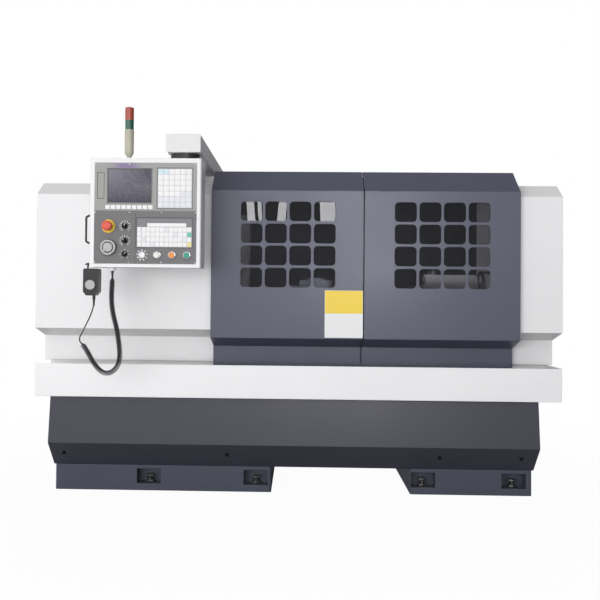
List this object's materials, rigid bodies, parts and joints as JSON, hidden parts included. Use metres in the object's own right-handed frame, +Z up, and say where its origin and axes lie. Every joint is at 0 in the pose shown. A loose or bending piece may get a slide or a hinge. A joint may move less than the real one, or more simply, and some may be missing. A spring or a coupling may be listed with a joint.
{
  "type": "cnc turning lathe",
  "caption": "Flat-bed CNC turning lathe with two sliding guard doors, a swinging operator pendant, a chip tray and cast pedestals.",
  "frame": {"origin": "on the floor under the middle of the whole machine's box", "axes": "+X from the headstock to the tailstock, +Y from the operator to the rear, +Z up"},
  "size_m": [2.596, 1.646, 1.835],
  "materials": {
    "cast_grey": "satin enamel over casting",
    "steel_ground": "ground",
    "screw_zinc": "zinc plated",
    "skirt_grey": "semi-gloss powder coat",
    "cover_white": "semi-gloss powder coat",
    "door_blue": "semi-gloss powder coat",
    "guard_dark": "semi-gloss powder coat",
    "cast_white": "satin enamel over casting",
    "motor_blue": "satin enamel",
    "servo_black": "satin",
    "belt_rubber": "matt",
    "pane_clear": "gloss, tinted",
    "cabinet_white": "semi-gloss powder coat",
    "arm_white": "semi-gloss powder coat",
    "pendant_white": "semi-gloss powder coat",
    "unit_grey": "satin",
    "panel_grey": "satin film",
    "light_lens": "lens plastic in three colours",
    "unit_black": "matt",
    "cord_black": "satin",
    "stop_red": "gloss",
    "knob_black": "satin",
    "button_white": "gloss",
    "button_orange": "gloss",
    "button_green": "gloss",
    "dial_metal": "satin",
    "tank_grey": "semi-gloss powder coat",
    "switch_red": "satin"
  },
  "bodies": {
    "frame": {"left_pedestal": "cast_grey", "right_pedestal": "cast_grey", "levelling_screws": "screw_zinc", "front_skirt": "skirt_grey", "chip_tray": "cover_white", "bed": "cast_grey", "headstock": "cast_white", "spindle_bearings": "steel_ground", "main_motor": "motor_blue", "drive_belt": "belt_rubber", "z_motor": "servo_black", "headstock_cover": "cover_white", "end_cover": "cover_white", "rear_guard": "guard_dark", "door_rails": "steel_ground", "electrical_cabinet": "cabinet_white", "boom_post": "guard_dark", "coolant_tank": "tank_grey"},
    "spindle_line": {"spindle": "steel_ground", "spindle_pulley": "dial_metal", "chuck_body": "steel_ground"},
    "jaw_1": {"chuck_jaw_1": "steel_ground"},
    "jaw_2": {"chuck_jaw_2": "steel_ground"},
    "jaw_3": {"chuck_jaw_3": "steel_ground"},
    "motor_rotor": {"motor_pulley": "dial_metal"},
    "carriage": {"saddle": "cast_grey", "x_motor": "servo_black"},
    "cross_carriage": {"cross_slide": "steel_ground"},
    "turret": {"tool_turret": "steel_ground"},
    "z_drive": {"z_screw": "steel_ground"},
    "x_drive": {"x_screw": "steel_ground"},
    "tail_unit": {"tailstock": "cast_white"},
    "quill": {"tailstock_quill": "steel_ground"},
    "tail_wheel": {"tailstock_handwheel": "steel_ground"},
    "clamp_lever": {"quill_clamp_lever": "steel_ground"},
    "door_left": {"left_door": "door_blue", "left_window": "pane_clear"},
    "door_right": {"right_door": "door_blue", "right_window": "pane_clear"},
    "rear_door": {"cabinet_door": "cabinet_white"},
    "switch_handle": {"main_switch": "switch_red"},
    "boom": {"boom_arm": "arm_white"},
    "pendant": {"pendant_case": "pendant_white", "control_unit": "unit_grey", "operator_panel": "panel_grey", "signal_tower": "light_lens", "hand_unit": "unit_black", "cord_coil": "cord_black", "cord_lead": "cord_black"},
    "port_flap": {"port_cover": "unit_grey"},
    "stop_head": {"emergency_stop_button": "stop_red"},
    "pulse_wheel": {"pulse_handwheel": "dial_metal"},
    "feed_knob": {"feed_override_knob": "knob_black"},
    "speed_knob": {"spindle_override_knob": "knob_black"},
    "mode_selector": {"mode_knob": "knob_black"},
    "key": {"key_switch": "steel_ground"},
    "white_cap": {"white_button": "button_white"},
    "orange_cap": {"orange_button": "button_orange"},
    "green_cap": {"green_button": "button_green"},
    "hand_dial": {"hand_unit_dial": "dial_metal"}
  },
  "joints": [
    {"name": "spindle_turn", "type": "hinge", "parent": "frame", "child": "spindle_line", "pos_m": [-0.45, 0, 1.03], "axis": [1, 0, 0], "continuous": true},
    {"name": "jaw_1_slide", "type": "slide", "parent": "spindle_line", "child": "jaw_1", "axis": [0, 0, 1], "range_m": [-0.012, 0.02]},
    {"name": "jaw_2_slide", "type": "slide", "parent": "spindle_line", "child": "jaw_2", "axis": [0, -0.866, -0.5], "range_m": [-0.012, 0.02]},
    {"name": "jaw_3_slide", "type": "slide", "parent": "spindle_line", "child": "jaw_3", "axis": [0, 0.866, -0.5], "range_m": [-0.012, 0.02]},
    {"name": "motor_turn", "type": "hinge", "parent": "frame", "child": "motor_rotor", "pos_m": [-1.205, 0.285, 0.606], "axis": [1, 0, 0], "continuous": true},
    {"name": "carriage_travel", "type": "slide", "parent": "frame", "child": "carriage", "axis": [1, 0, 0], "range_m": [-0.2, 0.25]},
    {"name": "z_screw_turn", "type": "hinge", "parent": "frame", "child": "z_drive", "pos_m": [-0.33, -0.21, 0.7], "axis": [1, 0, 0], "range_deg": [-7200, 9000]},
    {"name": "cross_travel", "type": "slide", "parent": "carriage", "child": "cross_carriage", "axis": [0, 1, 0], "range_m": [-0.03, 0.16]},
    {"name": "x_screw_turn", "type": "hinge", "parent": "carriage", "child": "x_drive", "pos_m": [0.1, -0.239, 0.8475], "axis": [0, 1, 0], "range_deg": [-1080, 5760]},
    {"name": "turret_index", "type": "hinge", "parent": "cross_carriage", "child": "turret", "pos_m": [0.1, -0.15, 0.9453], "axis": [0, 0, 1], "continuous": true},
    {"name": "tailstock_travel", "type": "slide", "parent": "frame", "child": "tail_unit", "axis": [1, 0, 0], "range_m": [-0.25, 0]},
    {"name": "handwheel_turn", "type": "hinge", "parent": "tail_unit", "child": "tail_wheel", "pos_m": [0.97, 0, 1.03], "axis": [1, 0, 0], "range_deg": [-7200, 0]},
    {"name": "quill_travel", "type": "slide", "parent": "tail_unit", "child": "quill", "axis": [1, 0, 0], "range_m": [-0.1, 0]},
    {"name": "clamp_lever_turn", "type": "hinge", "parent": "tail_unit", "child": "clamp_lever", "pos_m": [0.74, 0, 1.1023], "axis": [0, 0, 1], "range_deg": [-40, 40]},
    {"name": "left_door_slide", "type": "slide", "parent": "frame", "child": "door_left", "axis": [-1, 0, 0], "range_m": [0, 0.7]},
    {"name": "right_door_slide", "type": "slide", "parent": "frame", "child": "door_right", "axis": [1, 0, 0], "range_m": [0, 0.18]},
    {"name": "cabinet_door_swing", "type": "hinge", "parent": "frame", "child": "rear_door", "pos_m": [-1.238, 0.797, 0.9885], "axis": [0, 0, 1], "range_deg": [0, 110]},
    {"name": "main_switch_turn", "type": "hinge", "parent": "rear_door", "child": "switch_handle", "pos_m": [-0.47, 0.803, 1.2], "axis": [0, 1, 0], "range_deg": [0, 90]},
    {"name": "boom_swing", "type": "hinge", "parent": "frame", "child": "boom", "pos_m": [-0.517, 0.13, 1.619], "axis": [0, 0, 1], "range_deg": [-8, 25]},
    {"name": "pendant_swivel", "type": "hinge", "parent": "boom", "child": "pendant", "pos_m": [-0.517, -0.7, 1.6187], "axis": [0, 0, 1], "range_deg": [-5, 75]},
    {"name": "port_cover_swing", "type": "hinge", "parent": "pendant", "child": "port_flap", "pos_m": [-0.8975, -0.7785, 1.463], "axis": [0, 0, -1], "range_deg": [0, 100]},
    {"name": "emergency_stop_press", "type": "slide", "parent": "pendant", "child": "stop_head", "axis": [0, 1, 0], "range_m": [0, 0.004]},
    {"name": "pulse_wheel_turn", "type": "hinge", "parent": "pendant", "child": "pulse_wheel", "pos_m": [-0.845, -0.78, 1.186], "axis": [0, 1, 0], "continuous": true},
    {"name": "feed_knob_turn", "type": "hinge", "parent": "pendant", "child": "feed_knob", "pos_m": [-0.772, -0.78, 1.282], "axis": [0, 1, 0], "range_deg": [-135, 135]},
    {"name": "speed_knob_turn", "type": "hinge", "parent": "pendant", "child": "speed_knob", "pos_m": [-0.772, -0.78, 1.217], "axis": [0, 1, 0], "range_deg": [-135, 135]},
    {"name": "mode_knob_turn", "type": "hinge", "parent": "pendant", "child": "mode_selector", "pos_m": [-0.772, -0.78, 1.157], "axis": [0, 1, 0], "range_deg": [-120, 120]},
    {"name": "key_turn", "type": "hinge", "parent": "pendant", "child": "key", "pos_m": [-0.694, -0.78, 1.153], "axis": [0, 1, 0], "range_deg": [0, 90]},
    {"name": "white_button_press", "type": "slide", "parent": "pendant", "child": "white_cap", "axis": [0, 1, 0], "range_m": [0, 0.004], "stiffness_N_per_m": 600},
    {"name": "orange_button_press", "type": "slide", "parent": "pendant", "child": "orange_cap", "axis": [0, 1, 0], "range_m": [0, 0.004], "stiffness_N_per_m": 600},
    {"name": "green_button_press", "type": "slide", "parent": "pendant", "child": "green_cap", "axis": [0, 1, 0], "range_m": [0, 0.004], "stiffness_N_per_m": 600},
    {"name": "hand_dial_turn", "type": "hinge", "parent": "pendant", "child": "hand_dial", "pos_m": [-0.93, -0.755, 1.018], "axis": [0, 1, 0], "continuous": true}
  ],
  "couplings": [
    {"joint": "motor_turn", "follows": "spindle_turn", "ratio": 1.8182},
    {"joint": "jaw_2_slide", "follows": "jaw_1_slide", "ratio": 1},
    {"joint": "jaw_3_slide", "follows": "jaw_1_slide", "ratio": 1},
    {"joint": "z_screw_turn", "follows": "carriage_travel", "rad_per_m": 628.32},
    {"joint": "x_screw_turn", "follows": "cross_travel", "rad_per_m": 628.32},
    {"joint": "quill_travel", "follows": "handwheel_turn", "m_per_rad": 0.00079577}
  ]
}
